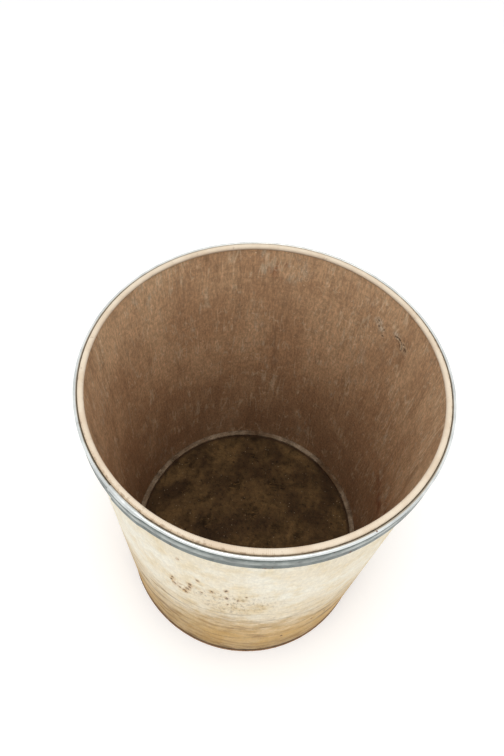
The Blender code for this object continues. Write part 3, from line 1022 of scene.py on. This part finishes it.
def make_inner_board():
    material, net, shader, position = new_material("inner_board", roughness=0.8, shine=0.2)
    height = net.use(DRUM_PLACE, "Height")
    ragged = net.noise(position, 300, 3, 0.6)
    wander = net.noise(position, 7, 4)
    fibre_height, fibre_tone = net.fibre(240)
    grain = net.mottle((1, 1, 0.35), scale=300, detail=4, low=0.38, high=0.66)
    clouds = net.mottle((1, 1, 0.6), scale=10, detail=6, low=0.38, high=0.64)
    colour = net.mix(BOARD_MID, BOARD_LIGHT, clouds)
    # Painted shade: the inner board darkens towards the bottom of the drum, as the deep inside is shaded
    drift = net.times(net.minus(wander, 0.5), 0.34)
    depth_shade = net.fade(net.plus(height, drift), 0.04, 0.46)
    colour = net.tint(colour, BOARD_STREAK_AND_DEPTH_SHADE, depth_shade, 0.5)
    streaks = net.mottle((1, 1, 0.1), scale=44, detail=6, low=0.5, high=0.72)
    colour = net.tint(colour, BOARD_STREAK_AND_DEPTH_SHADE, streaks, 0.4)
    reds = net.mottle((1, 1, 0.5), scale=30, detail=5, low=0.44, high=0.66)
    for red in RED_PATCHES:
        patch = net.mark(red, INNER_RADIUS, wander, fray=0.06, softness=0.8)
        colour = net.tint(colour, BOARD_RED, patch, net.times(reds, 0.8))
    worn = net.mottle((1, 1, 0.35), scale=70, detail=7, low=0.5, high=0.7)
    rubbed_and_lit = net.mottle((1, 1, 0.4), scale=11, detail=4, low=0.5, high=0.7)
    # The pale patches widen the pale mottle; one of them is painted light
    for pale in PALE_AND_LIT_PATCHES:
        patch = net.mark(pale, INNER_RADIUS, wander, fray=0.05, softness=0.8)
        rubbed_and_lit = net.more(rubbed_and_lit, patch)
    colour = net.tint(colour, BOARD_GREY, worn, net.times(rubbed_and_lit, 0.85))
    hair = net.scratches((1, 1, 0.12), scale=60, width=0.04, share=0.54)
    slant = net.scratches((0.4, 1, 0.3), scale=90, width=0.022, share=0.5)
    hair = net.more(hair, slant)
    colour = net.tint(colour, BOARD_SPECK, hair, 0.45)
    pale_specks = net.specks(position, spacing=0.01, share=0.26, size=0.0018)
    colour = net.tint(colour, BOARD_SPECK, pale_specks, 0.6)
    dark_specks = net.specks(position, spacing=0.014, share=0.26, size=0.0022)
    colour = net.tint(colour, BOARD_DARK, dark_specks, 0.4)
    for rub in RUBS:
        patch = net.mark(rub, INNER_RADIUS, ragged, fray=0.02, softness=0.7)
        patch = net.times(patch, net.plus(0.35, grain))
        colour = net.tint(colour, BOARD_RUBBED, patch, 0.8, clamp=True)

    # The lifted flake: a thin shadow and a pale torn edge along its arc
    flake_place = facing(FLAKE.bearing, FLAKE.height, INNER_RADIUS)
    from_flake = net.vector("DISTANCE", position, flake_place)
    from_flake = net.plus(from_flake, net.times(net.minus(ragged, 0.5), 0.005))
    towards = net.vector("SUBTRACT", position, flake_place)
    side = net.vector("DOT_PRODUCT", towards, FLAKE_SIDE)
    arc = net.ramp(side, -0.002, 0.007)
    for reach, tone, strength in FLAKE_LINES:
        line = net.fade(net.around(from_flake, reach), 0.0006, 0.0024)
        colour = net.tint(colour, tone, net.times(line, arc), strength)
    for hole in PEEL_HOLES:
        centre = facing(hole.bearing, hole.height, INNER_RADIUS)
        colour = lay_damage(net, colour, HOLE_LAYERS, position, centre, hole.radius, ragged)
    contrast = net.plus(0.64, net.times(fibre_tone, 0.24))
    contrast = net.plus(contrast, net.times(grain, 0.3))
    colour = net.mix(colour, contrast, 1.0, "MULTIPLY")
    roughness = net.plus(0.7, net.times(fibre_tone, 0.2))
    relief = net.plus(net.times(fibre_height, 0.7), net.times(worn, 0.3))
    set_finish(net, shader, colour, roughness, relief, depth=0.0006)
    return material


# Brown board of the bottom and the rings
def make_brown_board(name, base, pale, stain):
    material, net, shader, position = new_material(name, roughness=0.85, shine=0.15)
    radius, height = net.use(DRUM_PLACE, ("Radius", "Height"))
    fibre_height, fibre_tone = net.fibre(330)
    clouds = net.mottle(EVEN, scale=13, detail=6, low=0.36, high=0.66)
    colour = net.tint(base, pale, clouds, 0.7)
    stains = net.mottle(EVEN, scale=24, detail=8, low=0.46, high=0.72)
    colour = net.tint(colour, stain, stains, 0.75)
    blots = net.mottle(EVEN, scale=130, detail=6, low=0.5, high=0.7)
    colour = net.tint(colour, stain, blots, 0.5)
    dust = net.specks(position, spacing=0.008, share=0.35, size=0.0014)
    colour = net.tint(colour, BOARD_SPECK, dust, 0.35)
    flecks = net.specks(position, spacing=0.02, share=0.3, size=0.004)
    colour = net.tint(colour, stain, flecks, 0.6)
    across = net.scratches((0.25, 1, 1), scale=60, width=0.012, share=0.45)
    along = net.scratches((1, 0.3, 1), scale=50, width=0.012, share=0.4)
    colour = net.tint(colour, pale, net.more(across, along), 0.7)
    # Painted shade: the bottom darkens in the corner where it meets the floor ring
    corner = net.ramp(radius, BOTTOM_RADIUS - FLOOR_RING_WIDTH - 0.01, BOTTOM_RADIUS - FLOOR_RING_WIDTH)
    under = net.times(corner, net.fade(height, BOTTOM_TOP.z, BOTTOM_TOP.z + 0.003))
    colour = net.tint(colour, BOARD_DARK, under, 0.8)
    contrast = net.plus(0.7, net.times(fibre_tone, 0.45))
    colour = net.mix(colour, contrast, 1.0, "MULTIPLY")
    roughness = net.plus(0.72, net.times(stains, 0.15))
    relief = net.plus(net.times(fibre_height, 0.6), net.times(clouds, 0.4))
    set_finish(net, shader, colour, roughness, relief, depth=0.0008)
    return material


# Galvanised steel
RUST_SPOTS = [Mark(*values) for values in (
    (74, 0.719, 0.004), (68, 0.719, 0.0036), (356, 0.7, 0.004), (343, 0.697, 0.004),
    (332, 0.706, 0.0034), (166, 0.718, 0.0034), (276, 0.684, 0.0042), (231, 0.717, 0.003),
    (299, 0.685, 0.0034), (251, 0.686, 0.0026), (318, 0.684, 0.003), (205, 0.685, 0.0036),
)]


def make_steel():
    material, net, shader, position = new_material("galvanised_sheet", roughness=0.38, metallic=1)
    radius, height = net.use(DRUM_PLACE, ("Radius", "Height"))
    ragged = net.noise(position, 240, 3, 0.6)
    spangle = net.node("ShaderNodeTexVoronoi", {"Vector": position, "Scale": 120.0})
    crystal = net.node("ShaderNodeSeparateColor", {0: spangle.outputs["Color"]}).outputs["Red"]
    clouds = net.mottle(EVEN, scale=30, detail=5, low=0.34, high=0.68)
    colour = net.tint(STEEL, STEEL_DULL, clouds, 0.6)
    colour = net.tint(colour, STEEL_PALE, crystal, 0.25)
    rolled = net.mottle((0.06, 0.06, 1), scale=320, detail=3, low=0.4, high=0.7)
    colour = net.tint(colour, STEEL_DULL, rolled, 0.35)
    # Painted highlight: a pale stripe along the crown of the face, where it reflects the light
    crown_highlight = net.fade(net.around(height, CROWN_LEVEL), 0.001, 0.009)
    crown_highlight = net.times(crown_highlight, net.minus(1, clouds))
    colour = net.tint(colour, STEEL_PALE, crown_highlight, 0.7)
    # Painted highlight: the rolled edge is tinted bright steel, where the overhead light catches it
    roll_highlight = net.ramp(height, BAND_EDGE - 2 * BEAD_RADIUS, BAND_EDGE - BEAD_RADIUS)
    highlight_share = net.minus(1, net.times(clouds, 0.35))
    colour = net.tint(colour, STEEL_PAINTED_HIGHLIGHT, roll_highlight, highlight_share)
    # Neck and inside faces: grime in a pale tone that also paints light into the shaded gap between the bead
    # and the band
    neck = net.fade(net.around(height, BAND_EDGE - NECK_DEPTH), 0.0006, 0.0036)
    colour = net.tint(colour, STEEL_GRIME_AND_GAP_LIGHT, neck, 0.85)
    inner = net.fade(radius, WALL_RADIUS + 0.0012, WALL_RADIUS + 0.0028)
    colour = net.tint(colour, STEEL_GRIME_AND_GAP_LIGHT, inner, 0.8)
    hem = net.fade(height, BAND_FOOT - 0.0005, BAND_FOOT + 0.0025)
    colour = net.tint(colour, STEEL_GRIME_AND_GAP_LIGHT, hem, net.times(ragged, 0.9))
    specks = net.specks(position, spacing=0.013, share=0.16, size=0.0016)
    blooms = net.mottle(EVEN, scale=60, detail=5, low=0.66, high=0.76)
    rust = net.more(net.times(specks, 0.9), net.times(blooms, 0.6))
    for spot in RUST_SPOTS:
        patch = net.mark(spot, WALL_RADIUS + FACE_STAND, ragged, fray=0.012, softness=0.5)
        rust = net.more(rust, net.times(patch, 0.9))
    colour = net.mix(colour, RUST, rust)
    dull = net.more(net.more(rust, neck), inner)
    metal = net.minus(1, net.times(dull, 0.8))
    net.feed(shader.inputs["Metallic"], metal)
    roughness = net.plus(0.3, net.times(clouds, 0.14))
    roughness = net.plus(roughness, net.times(rust, 0.35))
    relief = net.plus(net.times(clouds, 0.5), net.times(rolled, 0.2))
    relief = net.plus(relief, net.times(crystal, 0.15))
    set_finish(net, shader, colour, roughness, relief, depth=0.00018)
    return material


# Studio
FLOOR_SIZE = 40.0
FLOOR_LEVEL = -0.0005
FLOOR_GLOW = 0.15
WORLD_COLOUR = (1.0, 0.995, 0.985, 1)
WORLD_STRENGTH = 0.86
WORLD_GLOW = 0.12
SOFTBOX_PLACE = Vector((-0.05, -0.55, 2.7))
SOFTBOX_TARGET = Vector((0, 0, 0.5))
SOFTBOX_SIZE = 0.8
SOFTBOX_POWER = 16
CAMERA_PLACE = (0, -0.5104, 1.4207)
CAMERA_YAW = math.radians(2.46)
CAMERA_PITCH = math.radians(-54.91)
CAMERA_ROLL = math.radians(-5.40)
CAMERA_LENS = 26.27


def seen_mask(net):
    """1 for what the camera sees, straight or by a reflection or through a piece, and 0 for plain light."""
    paths = net.node("ShaderNodeLightPath", {}).outputs
    return net.more(net.more(paths["Is Camera Ray"], paths["Is Glossy Ray"]), paths["Is Transmission Ray"])


def make_floor():
    deselect_all()
    bpy.ops.mesh.primitive_plane_add(size=FLOOR_SIZE, location=(0, 0, FLOOR_LEVEL))
    floor = bpy.context.object
    floor.name = "studio_floor"
    material, net, shader = new_material("studio_floor", roughness=0.9)[:3]
    shader.inputs["Base Color"].default_value = WHITE
    net.feed(shader.inputs["Emission Strength"], net.times(seen_mask(net), FLOOR_GLOW))
    shader.inputs["Emission Color"].default_value = WHITE
    floor.data.materials.append(material)


def make_lights():
    world = bpy.data.worlds.new("studio")
    bpy.context.scene.world = world
    world.use_nodes = True
    backdrop = world.node_tree.nodes["Background"]
    backdrop.inputs["Color"].default_value = WORLD_COLOUR
    net = Net(world.node_tree)
    net.feed(backdrop.inputs["Strength"], net.plus(WORLD_STRENGTH, net.times(seen_mask(net), WORLD_GLOW)))
    bpy.ops.object.light_add(type="AREA", location=SOFTBOX_PLACE)
    lamp = bpy.context.object
    lamp.name = "overhead_softbox"
    lamp.data.size = SOFTBOX_SIZE
    lamp.data.energy = SOFTBOX_POWER
    lamp.rotation_euler = (SOFTBOX_TARGET - SOFTBOX_PLACE).to_track_quat("-Z", "Y").to_euler()


def make_camera():
    bpy.ops.object.camera_add(location=CAMERA_PLACE)
    camera = bpy.context.object
    aim = Matrix.Rotation(CAMERA_YAW, 3, "Z") @ Matrix.Rotation(CAMERA_PITCH, 3, "X")
    aim = aim @ Matrix.Rotation(CAMERA_ROLL, 3, "Y") @ Matrix.Rotation(math.pi / 2, 3, "X")
    camera.rotation_euler = aim.to_euler()
    camera.data.lens = CAMERA_LENS
    bpy.context.scene.camera = camera


def main():
    make_camera()
    make_lights()
    make_floor()
    make_wall(make_coating(), make_bead(), make_inner_board())
    make_band(make_steel())
    floor_board = make_brown_board("floor_board", FLOOR_BROWN_AND_SHADE, FLOOR_PALE, FLOOR_STAIN)
    ring_board = make_brown_board("ring_board", RING_BROWN, BOARD_GREY, FLOOR_BROWN_AND_SHADE)
    make_ring("inner_floor_ring", "floor_ring", FLOOR_RING_LOW, FLOOR_RING_TOP, FLOOR_RING_WIDTH, ring_board)
    make_ring("outer_foot_ring", "foot_ring", FOOT_RING_LOW, FOOT_RING_TOP, FOOT_RING_WIDTH, ring_board)
    make_bottom(floor_board)
    bpy.context.scene.view_settings.view_transform = "Standard"


main()
